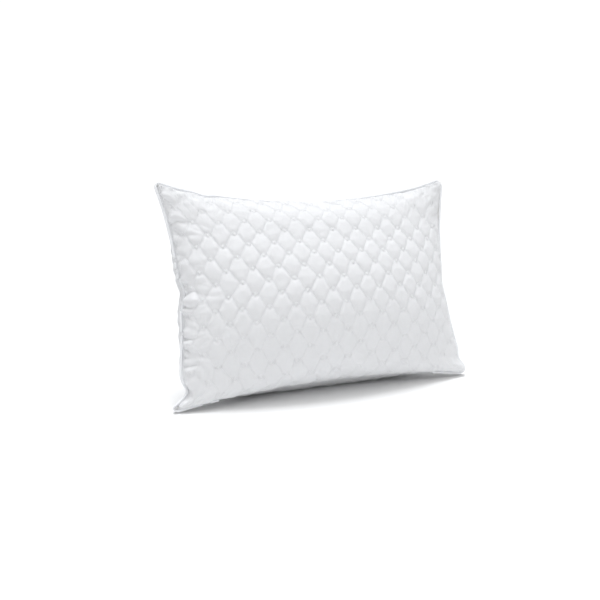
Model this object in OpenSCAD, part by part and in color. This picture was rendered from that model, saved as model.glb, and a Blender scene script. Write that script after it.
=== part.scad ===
// Bed pillow, quilted and plump, standing on one long edge and leaning back a little.
// Each side is a quilted panel: a face cloth, a thin wadding and a backing, stitched
// together in rows of waves. The two panels are sewn edge to edge with a corded piping
// in the seam, and the case that they make is stuffed with loose fibre.
// The pillow faces -Y. The origin is on the floor, under the middle of its box.

/* [Size] */
// Width between the two lower ear tips
pillow_w = 716; // [600:4:900]
// Length of a short side, from ear tip to ear tip
pillow_h = 476; // [400:4:600]
// Thickness through the middle
pillow_t = 186; // [140:2:220]

/* [Stance] */
// Lean back from upright, in degrees
lean = 16.5; // [12:0.5:20]
// How far the lower back sags towards the floor
sag = 68; // [60:1:76]

/* [Outline] */
// How far the middle of each short side pulls in
side_pull = 38; // [20:1:50]
// How far the middle of the top edge pulls down
top_pull = 41; // [15:1:50]
// How far the middle of the bottom edge lifts
bottom_pull = 14; // [5:1:25]
// How far an ear tip is rounded back
ear_round = 7; // [3:1:12]
// Fullness of the belly: 0.4 is boxy, 0.8 is a lens
belly = 0.71; // [0.45:0.01:0.75]

/* [Panel layers] */
// Thickness of the face cloth
cloth_t = 1.2; // [0.9:0.1:1.6]
// Thickness of the wadding
wadding_t = 6; // [3:0.5:9]
// Thickness of the backing
backing_t = 0.9; // [0.6:0.1:1.4]
// Clearance between one layer and the next
layer_gap = 0.2; // [0.1:0.05:0.4]

/* [Piping] */
// Radius of the piping, over its cover
piping_r = 2.7; // [2.2:0.1:3.5]
// Radius of the cord inside the piping
cord_r = 1.7; // [1.2:0.1:1.9]
// Width of the piping's flange, which is sewn into the seam
flange_w = 5.5; // [4:0.5:6]

/* [Stitching] */
// Length of one wave of the quilting
wave_l = 62.5; // [50:0.5:90]
// Distance between rows of quilting
row_pitch = 29; // [24:1:40]
// Height of a wave, from its middle line
wave_a = 13; // [6:1:13]
// Radius of the sewing thread
thread_r = 0.3; // [0.2:0.05:0.4]
// Number of stitches that close the filling gap
closing_count = 20; // [12:1:28]

/* [Hidden] */

front = -1;              // the side of the seam that a panel is on
back = 1;
cells_u = 26;            // cells of a panel's grid, across and up
cells_v = 16;
seam_gap = 0.9;          // half the space between the two panels at the seam
foot_cut = 0.3;          // depth that the floor plane trims off the lower back
flange_t = 0.3;          // half the thickness of the piping's flange
flange_slit = 0.05;      // half the slit between the flange's two plies
seat_v = -0.62;          // height on the panel, from -1 to 1, where the sag is deepest
seat_reach = 0.42;       // reach of the sag above and below that, on the same scale
seat_depth = 0.75;       // share of the half thickness over which the sag comes in
seat_spread = 0.35;      // how far the sag pushes out behind, for each unit that it drops
low_belly = 0.32;        // how much fuller the belly is below its middle
pull_round = 1.1;        // roundness of the curve along a pulled-in edge
side_fade = 5;           // how soon a side's pull-in fades towards the middle
top_fade = 3;            // the same, for the top and bottom edges
ear_sharp = 24;          // how closely the rounding keeps to the ear tips
stitch_lift = 1.1;       // height of the quilting thread's middle over the face cloth
panel_w = 1.05 * pillow_w;   // width and height of a panel when it lies flat
panel_h = 1.05 * pillow_h;

// Depth of each layer's outer face below the face of the pillow
wadding_d = cloth_t + layer_gap;
backing_d = wadding_d + wadding_t + layer_gap;
fill_d = backing_d + backing_t + layer_gap;

white = [0.95, 0.96, 0.97];
pale = [0.90, 0.91, 0.92];
cream = [0.93, 0.92, 0.88];

// ---- The pillow's form -------------------------------------------------------------
// u and v run from -1 to 1 across and up a panel. A point in the seam's plane has an
// across part and an up part, and "out" is how far it stands off that plane.

// Even steps from -1 to 1, drawn closer towards both ends
function edge_steps(n) = [for (i = [0 : n]) sin(90 * (2 * i / n - 1))];

function ear(u, v) = 1 - 2 * ear_round / pillow_w * pow(abs(u * v), ear_sharp);

function across(u, v) =
    pillow_w / 2 * u * ear(u, v)
    - side_pull * sign(u) * pow(abs(u), side_fade) * pow(1 - v * v, pull_round);

function up(u, v) =
    let (pull = v > 0 ? top_pull : bottom_pull)
    pillow_h / 2 * v * ear(u, v)
    - pull * sign(v) * pow(abs(v), top_fade) * pow(1 - u * u, pull_round);

function out(u, v) =
    pillow_t / 2 * pow((1 - u * u) * (1 - v * v), belly) * (1 - low_belly * v);

// How far a point sags: not at all at the seam or at the short sides
function drop(a, s, t) =
    sag * exp(-pow((2 * s / pillow_h - seat_v) / seat_reach, 2))
    * pow(max(0, 1 - pow(2 * a / pillow_w, 4)), 1.5)
    * sin(90 * min(1, max(0, t) / (seat_depth * pillow_t / 2)));

// Leans a point of the seam's plane back, and lets the lower back sag to the floor
function stand(a, s, t) =
    let (h = s + pillow_h / 2 + 2.4 * piping_r, fall = drop(a, s, t))
    [a, h * sin(lean) + t * cos(lean) + seat_spread * fall,
     h * cos(lean) - t * sin(lean) - fall];

// A point of the form that is d inside the pillow's face, on the side given
function skin(u, v, d, side) =
    stand(across(u, v) * (1 - 2 * d / pillow_w),
          up(u, v) * (1 - 2 * d / pillow_h),
          side * (seam_gap + out(u, v) * (1 - 2 * d / pillow_t)));

// A point of the seam, n outside the panels' edge and b off the seam's plane
function seam(u, v, n, b) =
    stand(across(u, v) * (1 + 2 * n / pillow_w), up(u, v) * (1 + 2 * n / pillow_h), b);

// The middle of the box, front to back, comes from the fullest points of both sides
belly_steps = [for (v = [-0.6 : 0.05 : 0.8]) v];
y_front = min([for (v = belly_steps) skin(0, v, 0, front)[1]]);
y_back = max([for (v = belly_steps) skin(0, v, 0, back)[1]]);
y_mid = (y_front + y_back) / 2;

function centred(p, floor_z) = [p[0], p[1] - y_mid, max(p[2], floor_z)];

// ---- Building blocks ---------------------------------------------------------------

// The points of one face of a layer, as a grid of rows
function face_grid(d, side, floor_z) =
    [for (v = edge_steps(cells_v), u = edge_steps(cells_u))
        centred(skin(u, v, d, side), floor_z)];

// A closed solid between two grids, joined all the way round by a rim
module slab(near, far) {
    row = cells_u + 1;
    count = len(near);
    cells = [for (j = [0 : cells_v - 1], i = [0 : cells_u - 1]) j * row + i];
    rim = concat(
        [for (i = [0 : cells_u - 1]) i],
        [for (j = [0 : cells_v - 1]) j * row + cells_u],
        [for (i = [cells_u : -1 : 1]) cells_v * row + i],
        [for (j = [cells_v : -1 : 1]) j * row]
    );
    polyhedron(
        points = concat(near, far),
        faces = concat(
            [for (c = cells) each [[c, c + row + 1, c + 1], [c, c + row, c + row + 1]]],
            [for (c = cells, f = count + c)
                each [[f, f + 1, f + row + 1], [f, f + row + 1, f + row]]],
            [for (k = [0 : len(rim) - 1])
                let (p = rim[k], q = rim[(k + 1) % len(rim)])
                each [[p, q, count + q], [p, count + q, count + p]]]
        )
    );
}

// One layer of a panel, from depth d_out to depth d_in below the pillow's face
module layer(side, d_out, d_in, floor_out, floor_in) {
    outer = face_grid(d_out, side, floor_out);
    inner = face_grid(d_in, side, floor_in);
    if (side == front)
        slab(outer, inner);
    else
        slab(inner, outer);
}

// A solid skinned over rings of points, which are closed into a loop or capped
module rings(points, sides, closed = true) {
    count = len(points) / sides;
    spans = closed ? count : count - 1;
    polyhedron(
        points = points,
        faces = concat(
            [for (i = [0 : spans - 1], j = [0 : sides - 1])
                let (p = i * sides, q = ((i + 1) % count) * sides, k = (j + 1) % sides)
                each [[p + j, q + j, q + k], [p + j, q + k, p + k]]],
            closed ? [] : [
                [for (j = [0 : sides - 1]) j],
                [for (j = [sides - 1 : -1 : 0]) (count - 1) * sides + j]
            ]
        )
    );
}

// Stations round the whole seam, once, as [u, v]
seam_stations =
    let (us = edge_steps(cells_u), vs = edge_steps(cells_v))
    concat(
        [for (i = [0 : cells_u - 1]) [us[i], -1]],
        [for (j = [0 : cells_v - 1]) [1, vs[j]]],
        [for (i = [cells_u : -1 : 1]) [us[i], 1]],
        [for (j = [cells_v : -1 : 1]) [-1, vs[j]]]
    );

// A section of [n, b] points swept round the seam
module swept_seam(section) {
    rings([for (s = seam_stations, p = section)
            centred(seam(s[0], s[1], p[0], p[1]), 0)], len(section));
}

function round_section(r, n, b, sides) =
    [for (k = [0 : sides - 1]) [n + r * cos(360 * k / sides), b + r * sin(360 * k / sides)]];

// Everything under the plane that the pillow stands on
module below_floor()
    translate([-pillow_w, -pillow_w, -pillow_w])
        cube([2 * pillow_w, 2 * pillow_w, pillow_w]);

// ---- The panels ----------------------------------------------------------------------

module front_face_cloth()
    color(white) layer(front, 0, cloth_t, 0, cloth_t);

module back_face_cloth()
    color(white) difference() {
        layer(back, 0, cloth_t, -foot_cut, cloth_t);
        below_floor();
    }

module wadding(side)
    color(pale) layer(side, wadding_d, wadding_d + wadding_t, wadding_d, wadding_d + wadding_t);

module backing(side)
    color(cream) layer(side, backing_d, backing_d + backing_t, backing_d, backing_d + backing_t);

module front_wadding() wadding(front);
module front_backing() backing(front);
module back_wadding() wadding(back);
module back_backing() backing(back);

module fibre_fill()
    color(pale) slab(face_grid(fill_d, front, fill_d), face_grid(fill_d, back, fill_d));

// ---- The quilting --------------------------------------------------------------------
// Neighbouring rows run in opposite phase, so that their waves close into onion shapes.

row_count = floor((panel_h / 2 - wave_a) / row_pitch);
half_waves = floor(panel_w / wave_l) - 1;

// A point of a row's thread, dn above its middle line and lift further out
function wave_point(row, i, side, dn, lift) =
    let (x = i * wave_l / 2,
         z = row * row_pitch + wave_a * ((row + i) % 2 == 0 ? 1 : -1))
    skin(2 * x / panel_w, 2 * (z + dn) / panel_h, -stitch_lift - lift, side)
    - [0, y_mid, 0];

// One row's thread has a flat three-sided section that follows the cloth
module quilting_row(row, side) {
    flat_side = [[-thread_r, 0], [thread_r, 0]];
    section = side == front ? [flat_side[0], [0, 2 * thread_r], flat_side[1]]
                            : [flat_side[0], flat_side[1], [0, 2 * thread_r]];
    rings([for (i = [-half_waves : half_waves], p = section)
            wave_point(row, i, side, p[0], p[1])], 3, closed = false);
}

module quilting_thread(side)
    color(white)
        for (row = [-row_count : row_count])
            quilting_row(row, side);

module front_quilting_thread() quilting_thread(front);

// The rows under the flattened foot are pressed into the cloth there, and aren't drawn
module back_quilting_thread()
    difference() {
        quilting_thread(back);
        below_floor();
    }

// ---- The seam ------------------------------------------------------------------------

// A strip folded round the cord, whose two plies lie together as the flange
module piping_cover() {
    hole_r = cord_r + 0.1;
    turns = 4;
    outer_from = 180 - asin(flange_t / piping_r);
    inner_from = 180 - asin(flange_slit / hole_r);
    section = concat(
        [[-flange_w, flange_slit], [-flange_w, flange_t]],
        [for (k = [0 : 2 * turns]) let (q = outer_from * (1 - k / turns))
            [piping_r * (1 + cos(q)), piping_r * sin(q)]],
        [[-flange_w, -flange_t], [-flange_w, -flange_slit]],
        [for (k = [0 : 2 * turns]) let (q = -inner_from * (1 - k / turns))
            [piping_r + hole_r * cos(q), hole_r * sin(q)]]
    );
    color(white) swept_seam(section);
}

module piping_cord()
    color(cream) swept_seam(round_section(cord_r, piping_r, 0, 6));

module seam_thread()
    color(white)
        swept_seam(round_section(0.2, -flange_w / 3, (flange_t + seam_gap) / 2, 3));

// Binding on the flange's raw edge, which steps in and out from station to station
module overlock_thread() {
    r = 0.25;
    step = 0.8;
    color(white) rings(
        [for (k = [0 : len(seam_stations) - 1])
            let (s = seam_stations[k], n = -flange_w - 2 * r - step * (k % 2))
            for (p = round_section(r, n, 0, 4))
                centred(seam(s[0], s[1], p[0], p[1]), 0)],
        4);
}

// Hand stitches in the groove between the piping and the back panel
module closing_stitches() {
    pitch = 7.5;
    for (k = [0 : closing_count - 1]) {
        x = (k - (closing_count - 1) / 2) * pitch;
        p = centred(seam(2 * x / pillow_w, -1, 0.3, 2.1), 0);
        color(white) translate(p) rotate([0, 90, 0])
            cylinder(r = thread_r, h = 0.6 * pitch, center = true, $fn = 24);
    }
}

front_face_cloth();
front_wadding();
front_backing();
front_quilting_thread();
back_face_cloth();
back_wadding();
back_backing();
back_quilting_thread();
piping_cover();
piping_cord();
seam_thread();
overlock_thread();
closing_stitches();
fibre_fill();
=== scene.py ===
import math

import bpy
import numpy as np
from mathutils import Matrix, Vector
from mathutils.kdtree import KDTree


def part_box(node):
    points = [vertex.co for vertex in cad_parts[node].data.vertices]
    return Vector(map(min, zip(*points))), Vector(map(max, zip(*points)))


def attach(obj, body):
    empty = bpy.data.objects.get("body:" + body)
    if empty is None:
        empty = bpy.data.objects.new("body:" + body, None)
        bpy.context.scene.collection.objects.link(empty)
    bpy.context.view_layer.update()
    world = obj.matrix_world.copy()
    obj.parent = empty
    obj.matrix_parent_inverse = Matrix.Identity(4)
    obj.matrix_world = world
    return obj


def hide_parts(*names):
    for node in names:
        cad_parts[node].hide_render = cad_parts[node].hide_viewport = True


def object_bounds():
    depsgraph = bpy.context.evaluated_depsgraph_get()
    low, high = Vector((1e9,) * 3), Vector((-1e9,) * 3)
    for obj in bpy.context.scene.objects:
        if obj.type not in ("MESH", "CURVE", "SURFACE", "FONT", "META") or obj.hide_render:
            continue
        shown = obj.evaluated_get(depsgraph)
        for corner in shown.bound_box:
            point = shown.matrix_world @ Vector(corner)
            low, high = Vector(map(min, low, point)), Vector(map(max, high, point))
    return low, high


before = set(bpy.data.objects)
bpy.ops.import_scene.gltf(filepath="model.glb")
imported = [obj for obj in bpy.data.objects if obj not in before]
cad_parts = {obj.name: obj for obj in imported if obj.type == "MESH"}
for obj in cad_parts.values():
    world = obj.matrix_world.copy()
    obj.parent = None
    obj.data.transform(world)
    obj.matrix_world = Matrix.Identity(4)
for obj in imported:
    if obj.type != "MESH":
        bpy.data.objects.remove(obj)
cad_low, cad_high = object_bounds()
cord_low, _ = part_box("piping_cord")

FRONT, BACK = -1, 1
MM = 0.001

# ---- Size and stance -------------------------------------------------------------------
WIDTH = cad_high.x - cad_low.x     # between the ear tips
HEIGHT = 0.478                     # length of a short side, from ear tip to ear tip
THICK = 0.186                      # through the middle
LEAN = math.radians(16.5)
SEAM_FOOT = Vector((0, cord_low.y, 0.0065))   # the seam's plane passes here
FLAT_W, FLAT_H = 0.75, 0.50        # one panel, lying flat

# ---- Outline ---------------------------------------------------------------------------
# How far each side of the seam is drawn in at its middle, and the shape of that curve
PULL = {"left": 0.0373, "right": 0.0325, "top": 0.0480, "bottom": 0.033}
PULL_SHAPE = {"left": 0.7, "right": 1.1, "top": 1.0, "bottom": 1.0}
EAR_ROUND = 0.005                  # how far an ear tip is drawn back
TIP_R = 0.018                      # radius of an ear tip
EAR_FULL = 0.016                   # stuffing that reaches into the ears
BELLY = 0.710                      # 0.4 is boxy, 0.8 is a lens
LOW_BELLY = 0.320                  # how much fuller the belly is low down
SAG, SAG_AT, SAG_REACH = 0.068, -0.62, 0.42         # the lower back sinks to the floor
SAG_DEPTH = 0.75                   # how far out the sag is full, as a share of THICK / 2
SAG_SPREAD = 0.35                  # how much of the sag pushes the back outwards
UNDER = -0.010                     # the bottom seam is drawn forward, under the belly
# Places where the seam is nipped in, or let out: the side, how far, where along it, reach
NIPS = [("left", 0.009, 0.02, 0.10), ("left", 0.021, -0.86, 0.10),
        ("right", 0.004, -0.06, 0.12), ("right", 0.007, -0.84, 0.07),
        ("bottom", 0.002, -0.34, 0.05), ("bottom", -0.001, -0.62, 0.25),
        ("top", 0.004, -0.69, 0.04), ("top", 0.001, 0.75, 0.12), ("top", 0.003, 0.02, 0.08)]
# How far each ear tip reaches past the plain outline, across and up
EARS = {(-1, 1): (-0.002, 0.006), (1, 1): (-0.001, 0.002),
        (-1, -1): (0.008, 0.003), (1, -1): (0.005, 0.0)}
# How far a panel swells past the seam along each edge
SWELL = {FRONT: {"left": 0.002, "right": 0.002, "top": 0.008, "bottom": 0.016},
         BACK: {"left": 0.014, "right": 0.004, "top": 0.003, "bottom": 0.000}}

# ---- Quilting --------------------------------------------------------------------------
WAVE_L = 0.0617
ROW_PITCH = 0.0294
WAVE_A = 0.0200
WAVE_SHARP = 0.78                  # 0 is a sine, 1 is a zigzag
WAVE_AT = {FRONT: 0.0257, BACK: 0.0225}
ROW_AT = {FRONT: -0.0019, BACK: -0.006}
# How far the filling draws the quilting across and up, away from the edges: a fixed part,
# and parts that grow with a place's x or z and with its square
DRAWN_X = {"middle": -0.0074, "z": 0.0078, "zz": -0.1183}
DRAWN_Z = {"middle": 0.0139, "x": -0.0087, "xx": -0.1066}
LOFT = 0.0034                      # height of a puff
PUFF_REACH = 0.0058                # how soon it rises beside the stitching
PUFF_SWEEPS = 260
BEAD, BEAD_R = 0.0015, 0.0036      # the small knot of cloth in the middle of an eye
DIMPLE, DIMPLE_R = 0.0012, 0.0026  # the pits at the two ends of an eye
CREASE = 0.0010
ROWS = range(-9, 11)               # every row that comes onto the panel

# ---- Seam, thread and inner layers -----------------------------------------------------
GROOVE, GROOVE_IN, GROOVE_R = 0.0030, 0.005, 0.0035      # the hollow beside the seam
# Gathers that run in from each seam: their spacing, height and reach
GATHERS = {"left": (0.022, 0.0062, 0.055), "right": (0.014, 0.0016, 0.035),
           "bottom": (0.014, 0.0014, 0.045), "top": (0.013, 0.0026, 0.040)}
BACK_GATHERS = 0.35                # height of the back's gathers, as a share of the front's
STITCH_L = 0.0032
QUILTING_R, SEAM_R, OVERLOCK_R, CLOSING_R = 0.42 * MM, 0.2 * MM, 0.25 * MM, 0.3 * MM
PIPING_R = 0.0029
CORD_R = 1.7 * MM
SEAM_STEPS = 1200                  # points along the piping
SEAM_CELLS = 2                     # how far in from the seam its directions are read
# How deep the two faces of each layer lie under the smooth form
WADDING_DEPTHS = (2.2 * MM, 5.0 * MM)
SCRIM_DEPTHS = (5.4 * MM, 6.2 * MM)
FILL_DEPTH, FILL_LUMPS = 9 * MM, 2 * MM
FILL_LOWEST = 8 * MM               # height over the floor

FINE_X, FINE_Z = 372, 248          # cells of the panel that shows
BASE_X, BASE_Z = 132, 88           # cells of the simulated panel, and of the inner layers
LAY_STEPS, LAY_ROUNDS = 161, 6     # how finely a panel is laid over the form
NOISE_CELLS = 64                   # cells before the noise repeats


# ---- The pillow's form -----------------------------------------------------------------
# u and v run from -1 to 1 across and up a panel.

def bump(x, middle, reach):
    return np.exp(-((x - middle) / reach) ** 2)


def pulled(edge, along):
    """How far one side of the seam is drawn in, from -1 to 1 along it."""
    depth = PULL[edge] * (1 - along * along) ** PULL_SHAPE[edge]
    return depth + sum(nip * bump(along, middle, reach)
                       for where, nip, middle, reach in NIPS if where == edge)


def swelling(w, along):
    """Share of the swelling past the seam, which is fullest just inside the edge."""
    return (1 - w ** 16) * w ** 8 / 0.385 * (1 - along * along) ** 0.6


def tip_round(along, length):
    """How far an edge of this length turns in beside an ear tip, as an eighth of a circle."""
    start = 1 - TIP_R * math.sqrt(2) / length
    turned = np.clip((abs(along) - start) / (1 - start), 0, 1) * math.sqrt(0.5)
    return TIP_R * (1 - np.sqrt(1 - turned ** 2))


def form(u, v, side):
    """Points of the smooth pillow on one side."""
    ear = 1 - EAR_ROUND / WIDTH * abs(u * v) ** 24
    swell = SWELL[side]
    in_x = np.where(u > 0, pulled("right", v), pulled("left", v)) * abs(u) ** 5
    in_z = np.where(v > 0, pulled("top", u), pulled("bottom", u)) * abs(v) ** 3
    out_x = np.where(u > 0, swell["right"], swell["left"]) * swelling(u, v)
    out_z = np.where(v > 0, swell["top"], swell["bottom"]) * swelling(v, u)
    in_x = in_x + tip_round(v, HEIGHT) * abs(u) ** 16
    in_z = in_z + tip_round(u, WIDTH) * abs(v) ** 16
    across = WIDTH / 2 * u * ear + np.sign(u) * (out_x - in_x)
    up = HEIGHT / 2 * v * ear + np.sign(v) * (out_z - in_z)
    for (at_x, at_z), (reach_x, reach_z) in EARS.items():
        tip = np.maximum(0, u * at_x) ** 10 * np.maximum(0, v * at_z) ** 10
        across = across + at_x * reach_x * tip
        up = up + at_z * reach_z * tip
    rim = (1 - u * u) * (1 - v * v)
    back = side * (THICK / 2 * rim ** BELLY * (1 - LOW_BELLY * v)
                   + EAR_FULL * abs(u * v) ** 6 * (1 - np.exp(-rim / 0.0015)))
    reach = np.maximum(0, 1 - (2 * abs(across) / WIDTH) ** 4) ** 1.5
    ramp = np.sin(math.pi / 2 * np.clip(back / (SAG_DEPTH * THICK / 2), 0, 1))
    drop = SAG * bump(2 * up / HEIGHT, SAG_AT, SAG_REACH) * reach * ramp
    rise = up + HEIGHT / 2 + SEAM_FOOT.z
    under = UNDER * np.maximum(0, -v) ** 6 * (1 - u ** 4)
    y = rise * math.sin(LEAN) + back * math.cos(LEAN) + SAG_SPREAD * drop + SEAM_FOOT.y + under
    z = rise * math.cos(LEAN) - back * math.sin(LEAN) - drop
    return np.stack([across, y, np.maximum(z, 0)], -1)


def lay(side, cells_x, cells_z):
    """The points of a flat panel's grid when the panel is laid evenly over the form."""
    q = np.sin(np.linspace(-math.pi / 2, math.pi / 2, LAY_STEPS))
    table = form(*np.meshgrid(q, q, indexing="ij"), side)
    along_u = np.cumsum(np.linalg.norm(np.diff(table, axis=0, prepend=table[:1]), axis=-1), 0)
    along_v = np.cumsum(np.linalg.norm(np.diff(table, axis=1, prepend=table[:, :1]), axis=-1), 1)
    share_u = 2 * along_u / along_u[-1] - 1
    share_v = 2 * along_v / along_v[:, -1:] - 1
    x, z = np.linspace(-1, 1, cells_x + 1), np.linspace(-1, 1, cells_z + 1)
    u_of_x = np.stack([np.interp(x, share_u[:, j], q) for j in range(len(q))], 1)
    v_of_z = np.stack([np.interp(z, share_v[i], q) for i in range(len(q))], 0)
    u, v = np.meshgrid(x, z, indexing="ij")
    for _ in range(LAY_ROUNDS):
        u = np.stack([np.interp(v[i], q, u_of_x[i]) for i in range(len(x))], 0)
        v = np.stack([np.interp(u[:, j], q, v_of_z[:, j]) for j in range(len(z))], 1)
    return form(u, v, side)


# ---- Spare cloth at the seams ----------------------------------------------------------
# Share of extra cloth that each seam gathers up, how far in it reaches, and how strongly
# the gathers show
SPARE = {"left": 0.08, "right": 0.06, "top": 0.07, "bottom": 0.06}
SPARE_MOST = 0.11
SPARE_REACH = 0.05
GATHER_GAIN = 1.5
CLOTH_FRAMES = 14
CLOTH_PRESSURE = 2.0


# ---- Grids -----------------------------------------------------------------------------

def flat_grid(cells_x, cells_z):
    """The flat panel's own x and z, in metres, at each point of a grid."""
    x = np.linspace(-FLAT_W / 2, FLAT_W / 2, cells_x + 1)
    z = np.linspace(-FLAT_H / 2, FLAT_H / 2, cells_z + 1)
    return np.meshgrid(x, z, indexing="ij")


def cubic_weights(t):
    """Catmull-Rom weights of the four neighbours of a point."""
    return np.stack([-0.5 * t + t ** 2 - 0.5 * t ** 3,
                     1 - 2.5 * t ** 2 + 1.5 * t ** 3,
                     0.5 * t + 2 * t ** 2 - 1.5 * t ** 3,
                     -0.5 * t ** 2 + 0.5 * t ** 3])


def sample(grid, x, z):
    """A grid's values at flat places x, z, with smooth steps between its points."""
    nx, nz = grid.shape[0] - 1, grid.shape[1] - 1
    fx = np.clip((x / FLAT_W + 0.5) * nx, 0, nx - 1e-6)
    fz = np.clip((z / FLAT_H + 0.5) * nz, 0, nz - 1e-6)
    i, j = fx.astype(int), fz.astype(int)
    wx, wz = cubic_weights(fx - i), cubic_weights(fz - j)
    total = 0
    for a in range(4):
        for b in range(4):
            values = grid[np.clip(i + a - 1, 0, nx), np.clip(j + b - 1, 0, nz)]
            weight = wx[a] * wz[b]
            total = total + (values * weight[..., None] if grid.ndim == 3 else values * weight)
    return total


def normals(grid, side):
    """Unit normals of a grid of points, pointing out of the pillow."""
    n = np.cross(np.gradient(grid, axis=0), np.gradient(grid, axis=1))
    n = n / np.maximum(np.linalg.norm(n, axis=-1, keepdims=True), 1e-12)
    middle = n[n.shape[0] // 2, n.shape[1] // 2]
    return n if middle[1] * side > 0 else -n


def smooth_step(x):
    x = np.clip(x, 0, 1)
    return x * x * (3 - 2 * x)


def noise(x, y, seed):
    """Smooth gradient noise, about -1 to 1, with a feature size of 1."""
    turns = np.random.default_rng(seed).random((NOISE_CELLS, NOISE_CELLS)) * 2 * math.pi
    i, j = np.floor(x).astype(int), np.floor(y).astype(int)
    fx, fy = x - i, y - j
    corner = []
    for a in (0, 1):
        for b in (0, 1):
            angle = turns[(i + a) % NOISE_CELLS, (j + b) % NOISE_CELLS]
            corner.append(np.cos(angle) * (fx - a) + np.sin(angle) * (fy - b))
    sx, sy = smooth_step(fx), smooth_step(fy)
    low = corner[0] + (corner[1] - corner[0]) * sy
    high = corner[2] + (corner[3] - corner[2]) * sy
    return 1.5 * (low + (high - low) * sx)


def drawn(x, z):
    """Where the filling draws a flat place on the panel to. The edges stay where they are."""
    off_sides = 1 - (2 * x / FLAT_W) ** 2
    off_ends = 1 - (2 * z / FLAT_H) ** 2
    across = DRAWN_X["middle"] + DRAWN_X["z"] * z + DRAWN_X["zz"] * z * z
    up = DRAWN_Z["middle"] + DRAWN_Z["x"] * x + DRAWN_Z["xx"] * x * x
    return x + off_sides * across, z + off_ends * up


# ---- The quilting's relief -------------------------------------------------------------

def wave(x):
    """A wave with round tips and straight flanks, one long, from -1 to 1."""
    return np.arcsin(WAVE_SHARP * np.cos(2 * math.pi * x)) / math.asin(WAVE_SHARP)


def row_height(row, x, side):
    """Flat height of a row of quilting at x. Neighbouring rows run in opposite phase."""
    swing = WAVE_A * wave((x - WAVE_AT[side]) / WAVE_L)
    return ROW_AT[side] + row * ROW_PITCH + np.where(row % 2 == 0, swing, -swing)


def quilt_rows(side, step):
    """The flat points of every row, a step apart in x, as far as the panel goes."""
    x = np.arange(-FLAT_W / 2, FLAT_W / 2, step)
    rows = []
    for row in ROWS:
        z = row_height(row, x, side)
        inside = abs(z) < FLAT_H / 2 - 1 * MM
        if inside.any():
            rows.append(np.stack([x, z], 1)[inside])
    return rows


def eye_middles(side):
    """The middles of the small eyes between the tips of neighbouring rows."""
    return np.array([(WAVE_AT[side] + (m + 0.5 * (row % 2)) * WAVE_L,
                      ROW_AT[side] + (row + 0.5) * ROW_PITCH)
                     for row in range(-10, 11) for m in range(-8, 9)])


def crossings(side):
    """Where neighbouring rows cross, at the two ends of each small eye."""
    half_eye = WAVE_L / (2 * math.pi) * math.acos(
        math.sin(ROW_PITCH / (2 * WAVE_A) * math.asin(WAVE_SHARP)) / WAVE_SHARP)
    middles = eye_middles(side)
    return np.concatenate([middles - (half_eye, 0), middles + (half_eye, 0)])


def distance_to(points, x, z):
    """Flat distance from each place to the nearest of the points."""
    tree = KDTree(len(points))
    for i, p in enumerate(points):
        tree.insert((p[0], p[1], 0), i)
    tree.balance()
    places = zip(x.ravel(), z.ravel())
    return np.array([tree.find((a, b, 0))[2] for a, b in places]).reshape(x.shape)


def snapped(x, z, side):
    """Moves the nearest grid point of each column onto each row of stitching."""
    pitch = FLAT_H / FINE_Z
    z = z.copy()
    for row in ROWS:
        line = row_height(row, x[:, 0], side)
        j = np.rint((line + FLAT_H / 2) / pitch).astype(int)
        inside = (j > 1) & (j < FINE_Z - 1)
        z[np.nonzero(inside)[0], j[inside]] = line[inside]
    return z


def cell_dice(x, z, side, seed):
    """A random number from 0 to 1 that is the same all over one cell of the quilting."""
    below = sum((row_height(row, x, side) < z).astype(int) for row in ROWS)
    along = np.floor((x - WAVE_AT[side]) / WAVE_L + 0.5 * (below % 2)).astype(int)
    dice = np.random.default_rng(seed).random((NOISE_CELLS, NOISE_CELLS))
    return dice[below % NOISE_CELLS, along % NOISE_CELLS]


def edge_room(x, z):
    """Flat distance to the nearest edge of the panel."""
    return np.minimum(FLAT_W / 2 - abs(x), FLAT_H / 2 - abs(z))


def rooms_in(x, z):
    """Flat distance in from each edge of the panel."""
    return {"left": x + FLAT_W / 2, "right": FLAT_W / 2 - x,
            "bottom": z + FLAT_H / 2, "top": FLAT_H / 2 - z}


def gathers(x, z, side):
    """Ridges that run in from the seams, where the panel is eased onto a shorter edge."""
    total = 0
    rooms = rooms_in(x, z)
    # those of the left and the top run in at a slant
    places = {"left": z + 0.10 * rooms["left"], "right": z,
              "bottom": x, "top": x + 0.35 * rooms["top"]}
    for k, (edge, (spacing, height, reach)) in enumerate(GATHERS.items()):
        room, along = rooms[edge], places[edge]
        wander = 0.3 * noise(room / 0.03, along / 0.05, 40 + k)
        ridge = 2 * abs(noise(along / spacing + wander, room / 0.06, 50 + 7 * k + side)) - 0.5
        fade = np.exp(-(room / reach) ** 1.5) * smooth_step(room / 0.014)
        total = total + height * fade * ridge
    return total * (1 if side == FRONT else BACK_GATHERS)


def puffs(fixed, step, reach):
    """Heights of a membrane that is held down at the fixed points and blown up between
    them to 1 at most. It levels off further than reach from the stitching."""
    pull = 1 / (reach / step) ** 2
    height = np.zeros(fixed.shape)
    free = ~fixed
    free[0] = free[-1] = free[:, 0] = free[:, -1] = False
    for _ in range(PUFF_SWEEPS):
        around = np.zeros_like(height)
        around[1:-1, 1:-1] = (height[2:, 1:-1] + height[:-2, 1:-1]
                              + height[1:-1, 2:] + height[1:-1, :-2])
        height = np.where(free, (around + pull) / (4 + pull), 0)
    return height


def stitched_points(side):
    """True at the fine grid's points that lie on a row of quilting."""
    held = np.zeros((FINE_X + 1, FINE_Z + 1), bool)
    for line in quilt_rows(side, 0.25 * MM):
        i = np.rint((line[:, 0] / FLAT_W + 0.5) * FINE_X).astype(int)
        j = np.rint((line[:, 1] / FLAT_H + 0.5) * FINE_Z).astype(int)
        held[i, np.clip(j, 0, FINE_Z)] = True
    return held


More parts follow.
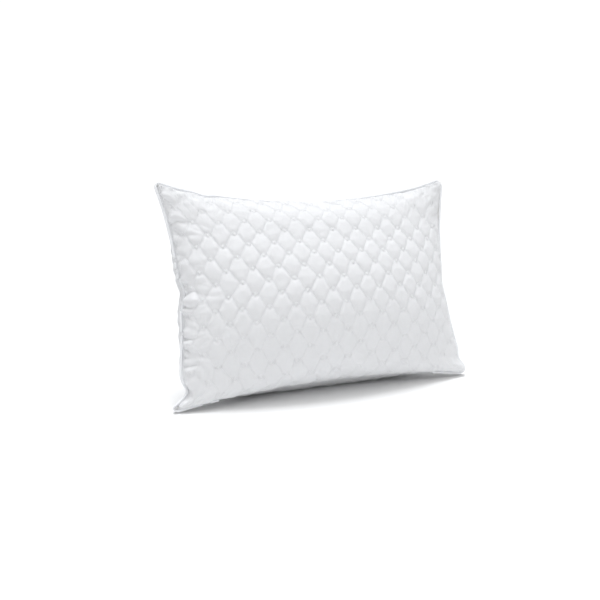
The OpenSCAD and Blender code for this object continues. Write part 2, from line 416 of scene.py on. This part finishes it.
def relief(x, z, side):
    """Height of the quilted face over the smooth form, at flat places x, z."""
    dome = sample(domes[side], x, z)
    eyes = distance_to(eye_middles(side), x, z)
    pits = distance_to(crossings(side), x, z)
    room = edge_room(x, z)
    # the quilting is flatter beside the seams, towards the top and low down on the front
    calm = 0.30 + 0.70 * smooth_step((room - 0.01) / 0.05)
    high = 1 - 0.65 * smooth_step((z - 0.10) / 0.12)
    low = 0.40 + 0.60 * smooth_step((z + 0.18) / 0.16) if side == FRONT else 0.8
    dice = 0.88 + 0.24 * cell_dice(x, z, side, 3)
    bead = BEAD * np.exp(-(eyes / BEAD_R) ** 2)
    dimple = DIMPLE * np.exp(-(pits / DIMPLE_R) ** 2)
    crease = CREASE * np.minimum(1, dome) * noise(x / 0.022, z / 0.016, 90 + side)
    beside_seam = GROOVE * np.exp(-((room - GROOVE_IN) / GROOVE_R) ** 2)
    return ((LOFT * dome * dice + bead) * calm * low * high - dimple + crease
            + gathers(x, z, side) - beside_seam)


# ---- Meshes ----------------------------------------------------------------------------

def new_piece(name, points, faces, uvs, material, slot, stands_for):
    """A mesh piece that rides on the pillow, takes a finish and stands for a CAD node."""
    points = np.array(points, float)
    points[:, 2] = np.maximum(points[:, 2], 0)
    mesh = bpy.data.meshes.new(name)
    mesh.from_pydata(points.tolist(), [], faces)
    if uvs is not None:
        layer = mesh.uv_layers.new(name="flat")
        loops = np.zeros(len(mesh.loops), np.int32)
        mesh.loops.foreach_get("vertex_index", loops)
        layer.data.foreach_set("uv", np.asarray(uvs, np.float32)[loops].ravel())
    mesh.polygons.foreach_set("use_smooth", np.ones(len(mesh.polygons), bool))
    mesh.materials.append(material)
    mesh.validate()
    piece = bpy.data.objects.new(name, mesh)
    bpy.context.scene.collection.objects.link(piece)
    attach(piece, "root")
    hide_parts(stands_for)
    return piece


def grid_triangles(height, side, first=0):
    """Two triangles for each cell, split along its lower diagonal so that grooves stay crisp."""
    nx, nz = height.shape
    i, j = np.meshgrid(np.arange(nx - 1), np.arange(nz - 1), indexing="ij")
    a = i * nz + j
    b, c, d = a + nz, a + nz + 1, a + 1
    h = height.ravel()
    split_ac = (h[a] + h[c] <= h[b] + h[d])[..., None]
    one = np.where(split_ac, np.stack([a, b, c], -1), np.stack([a, b, d], -1))
    two = np.where(split_ac, np.stack([a, c, d], -1), np.stack([b, c, d], -1))
    faces = np.concatenate([one.reshape(-1, 3), two.reshape(-1, 3)]) + first
    return (faces if side == FRONT else faces[:, ::-1]).tolist()


def border(nx, nz):
    """The (i, j) of a grid's rim, once round."""
    return ([(i, 0) for i in range(nx)] + [(nx, j) for j in range(nz)]
            + [(i, nz) for i in range(nx, 0, -1)] + [(0, j) for j in range(nz, 0, -1)])


def slab(name, outer, inner, side, uvs, *finish):
    """A closed layer between two grids of points."""
    nx, nz = outer.shape[0] - 1, outer.shape[1] - 1
    count = (nx + 1) * (nz + 1)
    level = np.zeros((nx + 1, nz + 1))
    faces = grid_triangles(level, side) + grid_triangles(level, -side, count)
    rim = [i * (nz + 1) + j for i, j in border(nx, nz)]
    for p, q in zip(rim, rim[1:] + rim[:1]):
        faces.append((p, count + p, count + q, q) if side == FRONT else (p, q, count + q, count + p))
    points = np.concatenate([outer.reshape(-1, 3), inner.reshape(-1, 3)])
    return new_piece(name, points, faces, np.concatenate([uvs, uvs]), *finish)


def tube(name, centre, out, back, section, closed, *finish):
    """A section of (out, back) points swept along a path that has its own two directions."""
    count, sides = len(centre), len(section)
    section = np.asarray(section, float)
    if section.ndim == 2:
        section = np.broadcast_to(section[:, None], (sides, count, 2))
    points = (centre[:, None] + out[:, None] * section[..., 0].T[..., None]
              + back[:, None] * section[..., 1].T[..., None])
    along = np.cumsum(np.linalg.norm(np.diff(centre, axis=0, prepend=centre[:1]), axis=1))
    faces, uvs = [], []
    for i in range(count if closed else count - 1):
        p, q = i * sides, (i + 1) % count * sides
        for j in range(sides):
            k = (j + 1) % sides
            faces.append((p + j, p + k, q + k, q + j))
    for i in range(count):
        uvs += [(along[i], 0.017 * j / sides) for j in range(sides)]
    if not closed:
        faces.append(tuple(range(sides)))
        faces.append(tuple(range((count - 1) * sides, count * sides))[::-1])
    return new_piece(name, points.reshape(-1, 3), faces, uvs, *finish)


def stitches(name, runs, radius, *finish):
    """Short stitches, each a slim spindle from a to b that arches along n."""
    turn = [(math.cos(q), math.sin(q)) for q in np.linspace(0, 2 * math.pi, 4, endpoint=False)]
    points, faces, uvs = [], [], []
    for a, b, n in runs:
        axis = b - a
        length = np.linalg.norm(axis)
        if length < 1e-5:
            continue
        axis = axis / length
        wide = np.cross(axis, n)
        wide = wide / max(np.linalg.norm(wide), 1e-9)
        tall = np.cross(wide, axis)
        first = len(points)
        points.append(a)
        for share in (0.22, 0.78):
            for c, s in turn:
                points.append(a + axis * length * share + (wide * c + tall * (s + 0.4)) * radius)
        points.append(b)
        for j in range(4):
            k = (j + 1) % 4
            faces.append((first, first + 1 + k, first + 1 + j))
            faces.append((first + 1 + j, first + 1 + k, first + 5 + k, first + 5 + j))
            faces.append((first + 5 + j, first + 5 + k, first + 9))
        uvs += [(0, 0)] + [(0.3 * length, 0)] * 4 + [(0.7 * length, 0)] * 4 + [(length, 0)]
    return new_piece(name, points, faces, uvs, *finish)


# ---- Materials -------------------------------------------------------------------------

def fabric(name, colour, pitch, roughness, sheen, bump_height, mottle=0.03, twill=False):
    """White woven cloth: crossed yarns from the flat UVs, a little mottling and a sheen."""
    material = bpy.data.materials.new(name)
    material.use_nodes = True
    nodes, links = material.node_tree.nodes, material.node_tree.links
    shader = nodes["Principled BSDF"]
    shader.inputs["Roughness"].default_value = roughness
    shader.inputs["Sheen Weight"].default_value = sheen
    shader.inputs["Sheen Roughness"].default_value = 0.4
    shader.inputs["Specular IOR Level"].default_value = 0.35
    place = nodes.new("ShaderNodeUVMap")
    place.uv_map = "flat"

    yarns = []
    for axis in ("X", "Y"):
        yarn = nodes.new("ShaderNodeTexWave")
        yarn.wave_type = "BANDS"
        yarn.bands_direction = "DIAGONAL" if twill and axis == "X" else axis
        yarn.inputs["Scale"].default_value = 0.314 / pitch
        yarn.inputs["Distortion"].default_value = 0.6
        yarn.inputs["Detail"].default_value = 1.0
        yarn.inputs["Detail Scale"].default_value = 0.5
        links.new(place.outputs["UV"], yarn.inputs["Vector"])
        yarns.append(yarn)
    weave = nodes.new("ShaderNodeMath")
    weave.operation = "ADD"
    links.new(yarns[0].outputs["Fac"], weave.inputs[0])
    links.new(yarns[1].outputs["Fac"], weave.inputs[1])

    crumple = nodes.new("ShaderNodeTexNoise")
    crumple.inputs["Scale"].default_value = 160
    crumple.inputs["Detail"].default_value = 4
    links.new(place.outputs["UV"], crumple.inputs["Vector"])

    weave_bump = nodes.new("ShaderNodeBump")
    weave_bump.inputs["Strength"].default_value = 0.5
    weave_bump.inputs["Distance"].default_value = bump_height
    links.new(weave.outputs[0], weave_bump.inputs["Height"])
    crumple_bump = nodes.new("ShaderNodeBump")
    crumple_bump.inputs["Strength"].default_value = 0.35
    crumple_bump.inputs["Distance"].default_value = 1.2 * MM
    links.new(crumple.outputs["Fac"], crumple_bump.inputs["Height"])
    links.new(weave_bump.outputs["Normal"], crumple_bump.inputs["Normal"])
    links.new(crumple_bump.outputs["Normal"], shader.inputs["Normal"])

    patches = nodes.new("ShaderNodeTexNoise")
    patches.inputs["Scale"].default_value = 28
    patches.inputs["Detail"].default_value = 3
    links.new(place.outputs["UV"], patches.inputs["Vector"])
    tint = nodes.new("ShaderNodeMix")
    tint.data_type = "RGBA"
    tint.inputs["A"].default_value = (*[c * (1 - mottle) for c in colour], 1)
    tint.inputs["B"].default_value = (*[min(1, c * (1 + mottle)) for c in colour], 1)
    links.new(patches.outputs["Fac"], tint.inputs["Factor"])
    links.new(tint.outputs["Result"], shader.inputs["Base Color"])
    return material


WHITE = (0.84, 0.845, 0.86)
FACE_CLOTH = fabric("white_microfibre", WHITE, 0.45 * MM, 0.62, 0.25, 0.10 * MM)
# The piping is white microfibre like the face cloth, but its colour is painted brighter than the
# face's: a painted highlight that makes the piping read as a lit line
PIPING_CLOTH_PAINTED_BRIGHTER = fabric("bias_microfibre_painted_brighter", (0.93, 0.94, 0.96), 0.45 * MM, 0.58, 0.25, 0.10 * MM,
                      twill=True)
WADDING = fabric("polyester_wadding", (0.86, 0.86, 0.86), 2.5 * MM, 0.9, 0.5, 0.8 * MM, 0.05)
SCRIM = fabric("nonwoven_scrim", (0.80, 0.80, 0.78), 1.2 * MM, 0.85, 0.1, 0.2 * MM, 0.05)
THREAD = fabric("polyester_thread", (0.95, 0.955, 0.97), 0.5 * MM, 0.45, 0.2, 0.08 * MM,
                twill=True)
CORD = fabric("cotton_cord", (0.80, 0.77, 0.70), 1.4 * MM, 0.85, 0.2, 0.4 * MM, twill=True)
FIBRE = fabric("crimped_fibre", (0.88, 0.88, 0.88), 3.5 * MM, 0.9, 0.6, 1.5 * MM, 0.06)


# ---- The cloth -------------------------------------------------------------------------

def cut_shape(grid, side, x, z):
    """The case as it was cut. Each point stands out or in by turns, which lengthens the
    cloth by its share of spare."""
    spare = sum(SPARE[edge] * np.exp(-(room / SPARE_REACH) ** 2)
                for edge, room in rooms_in(x, z).items())
    spare = np.minimum(spare, SPARE_MOST)
    i, j = np.indices(x.shape)
    turn = np.where((i + j) % 2 == 0, 0.5, -0.5)
    rise = FLAT_W / BASE_X * np.sqrt(2 * spare + spare ** 2) * turn
    return grid + normals(grid, side) * rise[..., None]


def start_shape(grid, side, x, z):
    """The smooth case with faint ripples near the seams, for the gathers to grow from."""
    ripple = 1.2 * MM * np.exp(-(edge_room(x, z) / 0.06) ** 2) * noise(x / 0.018, z / 0.018, 11)
    start = grid + normals(grid, side) * ripple[..., None]
    start[[0, -1]] = grid[[0, -1]]
    start[:, [0, -1]] = grid[:, [0, -1]]
    return start


def gathered(grids):
    """Blows the stitched case up as cloth, and returns how far each point of a panel moves."""
    x, z = flat_grid(BASE_X, BASE_Z)
    nx, nz = x.shape
    number = {FRONT: np.arange(nx * nz).reshape(nx, nz)}
    inner = np.zeros((nx, nz), bool)
    inner[1:-1, 1:-1] = True
    number[BACK] = number[FRONT].copy()
    number[BACK][inner] = nx * nz + np.arange(inner.sum())
    faces = []
    for side in (FRONT, BACK):
        k = number[side]
        quads = np.stack([k[:-1, :-1], k[1:, :-1], k[1:, 1:], k[:-1, 1:]], -1).reshape(-1, 4)
        faces += (quads if side == FRONT else quads[:, ::-1]).tolist()

    def joined(shape):
        front = shape(grids[FRONT], FRONT, x, z).reshape(-1, 3)
        return np.concatenate([front, shape(grids[BACK], BACK, x, z)[inner]])

    mesh = bpy.data.meshes.new("stitched_case")
    mesh.from_pydata(joined(start_shape).tolist(), [], faces)
    case = bpy.data.objects.new("stitched_case", mesh)
    bpy.context.scene.collection.objects.link(case)
    case.shape_key_add(name="start")
    cut = case.shape_key_add(name="cut")
    cut.data.foreach_set("co", joined(cut_shape).astype(np.float32).ravel())
    held = 0.002 + 0.15 * smooth_step((edge_room(x, z) - 0.05) / 0.10)
    held[~inner] = 1
    group = case.vertex_groups.new(name="held")
    for i, weight in enumerate(np.concatenate([held.ravel(), held[inner]])):
        group.add([i], float(weight), "REPLACE")

    cloth = case.modifiers.new("cloth", "CLOTH")
    settings = cloth.settings
    settings.quality = 4
    settings.mass = 0.2
    settings.air_damping = 1
    settings.tension_stiffness = 15
    settings.compression_stiffness = 15
    settings.shear_stiffness = 1
    settings.bending_stiffness = 2
    settings.tension_damping = 1
    settings.compression_damping = 1
    settings.shear_damping = 1
    settings.bending_damping = 0.5
    settings.use_pressure = True
    settings.uniform_pressure_force = CLOTH_PRESSURE
    settings.vertex_group_mass = "held"
    settings.pin_stiffness = 1
    settings.rest_shape_key = cut
    settings.effector_weights.gravity = 0
    cloth.collision_settings.use_collision = False
    scene = bpy.context.scene
    scene.frame_start, scene.frame_end = 1, CLOTH_FRAMES
    cloth.point_cache.frame_end = CLOTH_FRAMES
    for frame_number in range(1, CLOTH_FRAMES + 1):
        scene.frame_set(frame_number)
    settled = case.evaluated_get(bpy.context.evaluated_depsgraph_get()).data
    points = np.zeros(len(settled.vertices) * 3, np.float32)
    settled.vertices.foreach_get("co", points)
    points = points.reshape(-1, 3).astype(float)
    scene.frame_set(1)
    bpy.data.objects.remove(case)
    bpy.data.meshes.remove(mesh)
    moved = {}
    for side in (FRONT, BACK):
        moved[side] = points[number[side]] - grids[side]
        moved[side][~inner] = 0
    return moved


# ---- The panels ------------------------------------------------------------------------

base = {side: sample(lay(side, BASE_X, BASE_Z), *drawn(*flat_grid(BASE_X, BASE_Z)))
        for side in (FRONT, BACK)}
flat_x, flat_z = flat_grid(FINE_X, FINE_Z)
domes = {side: puffs(stitched_points(side), FLAT_W / FINE_X, PUFF_REACH)
         for side in (FRONT, BACK)}
base_x, base_z = flat_grid(BASE_X, BASE_Z)
for side, moved in gathered(base).items():
    base[side] = base[side] + GATHER_GAIN * moved
    base[side][..., 2] = np.maximum(base[side][..., 2], 0)
base_uv = np.stack([base_x, base_z], -1).reshape(-1, 2)
face = {}


def side_name(side):
    return "front" if side == FRONT else "back"


def make_face(side):
    """The quilted face cloth of one side."""
    z = snapped(flat_x, flat_z, side)
    smooth = sample(base[side], flat_x, z)
    height = relief(flat_x, z, side)
    smooth_n = sample(normals(base[side], side), flat_x, z)
    smooth_n /= np.linalg.norm(smooth_n, axis=-1, keepdims=True)
    points = smooth + smooth_n * height[..., None]
    points[..., 2] = np.maximum(points[..., 2], 0.2 * MM)
    face[side] = (points, smooth_n)
    name = side_name(side)
    uvs = np.stack([flat_x, z], -1).reshape(-1, 2)
    piece = new_piece(f"{name}_quilted_cover", points.reshape(-1, 3),
                      grid_triangles(height, side), uvs, FACE_CLOTH, "face_cloth",
                      f"{name}_face_cloth")


def make_layers(side):
    """The wadding and the backing under a face cloth. The wadding's outer face is raised
    under the puffs, by half as much as they are."""
    name = side_name(side)
    n = normals(base[side], side)
    raised = relief(base_x, base_z, side)[..., None] * 0.5
    levels = []
    for depth in WADDING_DEPTHS + SCRIM_DEPTHS:
        level = base[side] + n * ((raised if depth == WADDING_DEPTHS[0] else 0) - depth)
        level[..., 2] = np.maximum(level[..., 2], depth)
        levels.append(level)
    slab(f"{name}_puffed_wadding", levels[0], levels[1], side, base_uv,
                   WADDING, "wadding", f"{name}_wadding")
    slab(f"{name}_scrim", levels[2], levels[3], side, base_uv,
                   SCRIM, "backing", f"{name}_backing")


def make_quilting(side):
    """One stitch after another along every row."""
    points, n = face[side]
    runs = []
    for line in quilt_rows(side, 0.25 * MM):
        at, up = sample_fine(points, line), sample_fine(n, line)
        breaks = np.nonzero(np.diff(line[:, 0]) > 0.5 * MM)[0]
        for part in np.split(np.arange(len(line)), breaks + 1):
            if len(part) < 8:
                continue
            steps = np.linalg.norm(np.diff(at[part], axis=0), axis=1)
            along = np.concatenate([[0], np.cumsum(steps)])
            starts = np.arange(0, along[-1] - STITCH_L, STITCH_L)
            for s in starts:
                a = np.array([np.interp(s + 0.25 * MM, along, at[part, c]) for c in range(3)])
                b = np.array([np.interp(s + STITCH_L - 0.25 * MM, along, at[part, c])
                              for c in range(3)])
                k = part[min(np.searchsorted(along, s), len(part) - 1)]
                lift = up[k] * 0.35 * MM
                runs.append((a + lift, b + lift, up[k]))
    name = side_name(side)
    stitches(f"{name}_quilting_stitches", runs, QUILTING_R, THREAD, "thread",
             f"{name}_quilting_thread")


def sample_fine(grid, line):
    """Values of a fine grid at a row's flat points, in straight steps."""
    fx = np.clip((line[:, 0] / FLAT_W + 0.5) * FINE_X, 0, FINE_X - 1e-6)
    fz = np.clip((line[:, 1] / FLAT_H + 0.5) * FINE_Z, 0, FINE_Z - 1e-6)
    i, j = fx.astype(int), fz.astype(int)
    a, b = (fx - i)[:, None], (fz - j)[:, None]
    return (grid[i, j] * (1 - a) * (1 - b) + grid[i + 1, j] * a * (1 - b)
            + grid[i, j + 1] * (1 - a) * b + grid[i + 1, j + 1] * a * b)


for side in (FRONT, BACK):
    make_face(side)
    make_layers(side)
    make_quilting(side)


# ---- The fill --------------------------------------------------------------------------

def make_fill():
    """The loose fibre, as one soft lump that fills the case."""
    shells = {}
    for side in (FRONT, BACK):
        lumps = FILL_LUMPS * noise(base_x / 0.03, base_z / 0.03, 70 + side)
        shell = base[side] + normals(base[side], side) * (lumps - FILL_DEPTH)[..., None]
        shell[..., 2] = np.maximum(shell[..., 2], FILL_LOWEST)
        shells[side] = shell
    slab("fibre_filling", shells[FRONT], shells[BACK], FRONT, base_uv,
                   FIBRE, "fibre", "fibre_fill")


make_fill()


# ---- The seam --------------------------------------------------------------------------

def seam_frame(count):
    """The seam as a closed path: its points, and its directions out and back. Out is read
    from points close to the seam. Where a panel swells past the seam, on much of the bottom
    and parts of the left and top, it turns over and points inwards."""
    rim = border(BASE_X, BASE_Z)
    at = np.array([(base[FRONT][i, j] + base[BACK][i, j]) / 2 for i, j in rim])
    inner = []
    for i, j in rim:
        a = np.clip(i, SEAM_CELLS, BASE_X - SEAM_CELLS)
        b = np.clip(j, SEAM_CELLS, BASE_Z - SEAM_CELLS)
        inner.append((base[FRONT][a, b], base[BACK][a, b]))
    inner = np.array(inner)
    out = at - inner.mean(1)
    back = inner[:, 1] - inner[:, 0]
    steps = np.linalg.norm(np.diff(at, axis=0, append=at[:1]), axis=1)
    along = np.concatenate([[0], np.cumsum(steps)])
    s = np.linspace(0, along[-1], count, endpoint=False)

    def even(values):
        values = np.concatenate([values, values[:1]])
        spread = np.stack([np.interp(s, along, values[:, c]) for c in range(3)], 1)
        for _ in range(4):
            spread = (np.roll(spread, 1, 0) + 2 * spread + np.roll(spread, -1, 0)) / 4
        return spread

    at, out, back = even(at), even(out), even(back)
    tangent = np.roll(at, -1, 0) - np.roll(at, 1, 0)
    tangent /= np.linalg.norm(tangent, axis=1, keepdims=True)
    back -= tangent * (back * tangent).sum(1, keepdims=True)
    back /= np.linalg.norm(back, axis=1, keepdims=True)
    across = np.cross(tangent, back)
    across *= np.sign((across * out).sum(1, keepdims=True))
    return at, across, back, s


def round_section(radius, count, n=0.0, b=0.0):
    turn = np.linspace(0, 2 * math.pi, count, endpoint=False)
    return [(n + radius * math.cos(q), b + radius * math.sin(q)) for q in turn]


def make_seam():
    """The piping and its cord. Returns the seam's points and its directions out and back."""
    at, out, back, s = seam_frame(SEAM_STEPS)
    pucker = 1 + 0.05 * noise(s / 0.006, s * 0, 21) + 0.05 * noise(s / 0.02, s * 0, 22)
    centre = at + out * (PIPING_R * 0.55 + 0.3 * MM * noise(s / 0.03, s * 0, 23))[:, None]
    centre[:, 2] = np.maximum(centre[:, 2], PIPING_R * 1.15)
    ring = np.array(round_section(PIPING_R, 12))[:, None] * pucker[None, :, None]
    # the piping's cloth is painted brighter than the face cloth, a painted highlight along the seam
    tube("piping", centre, out, back, ring, True, PIPING_CLOTH_PAINTED_BRIGHTER, "piping", "piping_cover")
    tube("piping_core", centre, out, back, round_section(CORD_R, 8), True,
         CORD, "cord", "piping_cord")
    return at, out, back


seam_at, seam_out, seam_back = make_seam()


def seam_runs(n, b, pitch, lean=0.0, first=0, last=None):
    """Stitches along the seam, n out and b back from it, every pitch."""
    length = np.linalg.norm(np.diff(seam_at, axis=0), axis=1).mean()
    hop = max(1, round(pitch / length))
    runs = []
    path = seam_at + seam_out * n + seam_back * b
    for i in range(first, (last or len(path)) - hop, hop):
        gap = (path[i + hop] - path[i]) * 0.1
        runs.append((path[i] + gap, path[i + hop] - gap + seam_out[i] * lean, seam_out[i]))
    return runs


stitches("seam_stitching", seam_runs(-2.5 * MM, 0, 3 * MM), SEAM_R, THREAD, "thread",
         "seam_thread")
stitches("overlock_stitching", seam_runs(-6 * MM, 0, 2.5 * MM, 1.5 * MM), OVERLOCK_R, THREAD,
         "thread", "overlock_thread")


def make_closing():
    """Hand stitches in the groove behind the piping, along the middle of the bottom edge."""
    near = np.nonzero((abs(seam_at[:, 0]) < 0.075) & (seam_at[:, 2] < 0.05))[0]
    stitches("closing_hand_stitches",
             seam_runs(0.6 * MM, 2.4 * MM, 7.5 * MM, 0.0, near.min(), near.max()),
             CLOSING_R, THREAD, "thread", "closing_stitches")


make_closing()


# ---- Studio ----------------------------------------------------------------------------
CAMERA_AZIMUTH, CAMERA_ELEVATION, CAMERA_DISTANCE = -21.85, 11.4, 1.508
CAMERA_AIM = (-0.075, -0.0575, -0.0124)    # from the middle of the CAD box
FLOOR_REACH = 12


def plain(name, colour, roughness):
    material = bpy.data.materials.new(name)
    material.use_nodes = True
    shader = material.node_tree.nodes["Principled BSDF"]
    shader.inputs["Base Color"].default_value = (*colour, 1)
    shader.inputs["Roughness"].default_value = roughness
    shader.inputs["Specular IOR Level"].default_value = 0.1
    return material


def make_floor():
    mesh = bpy.data.meshes.new("floor")
    mesh.from_pydata([(x * FLOOR_REACH, y * FLOOR_REACH, 0)
                      for x, y in ((-1, -1), (1, -1), (1, 1), (-1, 1))], [], [(0, 1, 2, 3)])
    mesh.materials.append(plain("pale_floor", (0.89, 0.89, 0.89), 0.9))
    floor = bpy.data.objects.new("floor", mesh)
    bpy.context.scene.collection.objects.link(floor)


def aim(obj, azimuth, elevation, distance, target):
    """Puts a light or camera round the target and points it there, in degrees."""
    a, e = math.radians(azimuth), math.radians(elevation)
    away = Vector((math.sin(a) * math.cos(e), -math.cos(a) * math.cos(e), math.sin(e)))
    obj.location = target + away * distance
    obj.rotation_mode = "QUATERNION"
    obj.rotation_quaternion = (-away).to_track_quat("-Z", "Y")


def make_camera():
    camera = bpy.data.objects.new("camera", bpy.data.cameras.new("camera"))
    bpy.context.scene.collection.objects.link(camera)
    camera.data.lens = 42
    camera.data.sensor_width = 36
    target = (cad_low + cad_high) / 2 + Vector(CAMERA_AIM)
    aim(camera, CAMERA_AZIMUTH, CAMERA_ELEVATION, CAMERA_DISTANCE, target)
    bpy.context.scene.camera = camera


def sun(name, azimuth, elevation, strength, softness, colour):
    light = bpy.data.lights.new(name, "SUN")
    light.energy = strength
    light.angle = math.radians(softness)
    light.color = colour
    lamp = bpy.data.objects.new(name, light)
    bpy.context.scene.collection.objects.link(lamp)
    aim(lamp, azimuth, elevation, 3, Vector((0, 0, 0)))


def make_lights():
    sun("top", 178, 83, 2.10, 26, (0.955, 0.975, 1))
    sun("front", -14, 61, 0.83, 60, (1, 1, 0.99))
    world = bpy.data.worlds.new("studio")
    world.use_nodes = True
    nodes, links = world.node_tree.nodes, world.node_tree.links
    background = nodes["Background"]
    background.inputs["Color"].default_value = (1, 1, 1, 1)
    # the room's own light is weak below and on the left, and strong above
    way = nodes.new("ShaderNodeTexCoord")
    toward = nodes.new("ShaderNodeVectorMath")
    toward.operation = "DOT_PRODUCT"
    toward.inputs[1].default_value = (0.35, -0.10, 0.93)
    links.new(way.outputs["Generated"], toward.inputs[0])
    room = nodes.new("ShaderNodeMapRange")
    room.inputs["From Min"].default_value = -1
    room.inputs["From Max"].default_value = 1
    room.inputs["To Min"].default_value = 0.02
    room.inputs["To Max"].default_value = 0.50
    links.new(toward.outputs["Value"], room.inputs["Value"])
    ray = nodes.new("ShaderNodeLightPath")
    strength = nodes.new("ShaderNodeMapRange")
    strength.inputs["To Max"].default_value = 1.05
    links.new(room.outputs["Result"], strength.inputs["To Min"])
    links.new(ray.outputs["Is Camera Ray"], strength.inputs["Value"])
    links.new(strength.outputs["Result"], background.inputs["Strength"])
    bpy.context.scene.world = world
    bpy.context.scene.view_settings.view_transform = "Standard"


make_floor()
make_camera()
make_lights()
